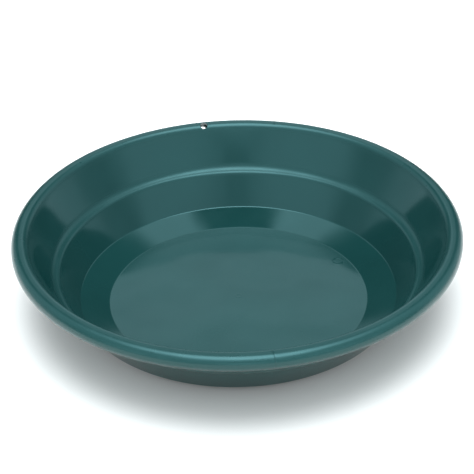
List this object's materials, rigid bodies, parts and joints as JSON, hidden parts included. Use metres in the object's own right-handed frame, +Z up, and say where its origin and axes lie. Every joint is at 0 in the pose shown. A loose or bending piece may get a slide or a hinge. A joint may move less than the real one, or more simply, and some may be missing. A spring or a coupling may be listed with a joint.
{
  "type": "gold pan",
  "caption": "Round moulded plastic gold pan with a stepped wall, a shallow dished heel, a rolled rim and a hang hole.",
  "frame": {"origin": "centre of the flat underside of the floor, on the pan's axis", "axes": "+Z up out of the pan's mouth, +Y towards the side of the rim with the hang hole, +X to the right when the hang hole is at the back"},
  "size_m": [0.3556, 0.3556, 0.0687],
  "materials": {
    "pan_plastic": "glossy dark teal green polypropylene, moulded in one shot"
  },
  "bodies": {
    "root": {"pan_floor": "pan_plastic", "heel_ring": "pan_plastic", "lower_wall": "pan_plastic", "step_ledge": "pan_plastic", "upper_wall": "pan_plastic", "rolled_rim": "pan_plastic", "hang_section": "pan_plastic"}
  },
  "joints": []
}
